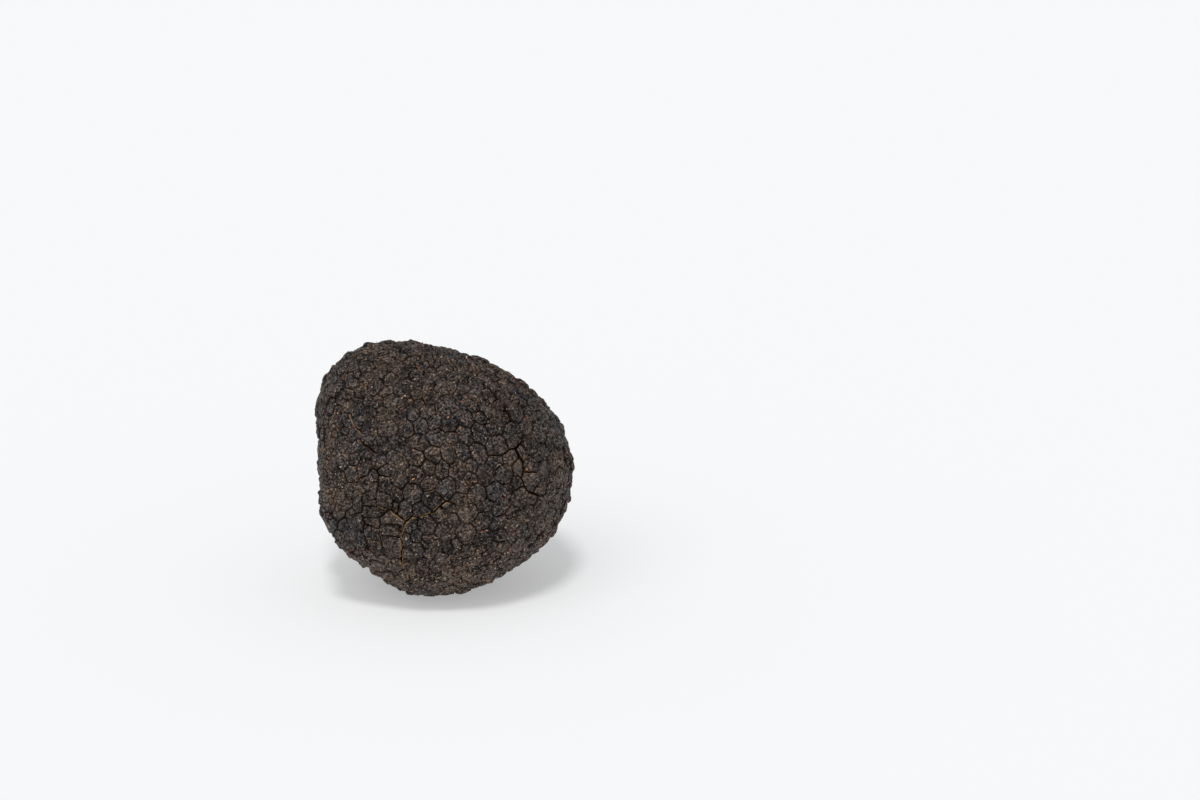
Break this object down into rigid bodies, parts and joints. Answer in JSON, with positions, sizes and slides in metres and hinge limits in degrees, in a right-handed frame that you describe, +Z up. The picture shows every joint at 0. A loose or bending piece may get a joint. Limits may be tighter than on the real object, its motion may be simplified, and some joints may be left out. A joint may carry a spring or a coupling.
{
  "type": "black truffle",
  "caption": "Whole black truffle: a lumpy round fruit body covered in low many-sided warts, resting on a small flat spot.",
  "frame": {"origin": "middle of the width and the depth, at the level that the truffle rests on", "axes": "+Z up, -Y towards the camera, +X to the camera's right, along the truffle's widest side"},
  "size_m": [0.0606, 0.0566, 0.0582],
  "materials": {
    "peridium": "matte"
  },
  "bodies": {
    "root": {"truffle": "peridium"}
  },
  "joints": []
}
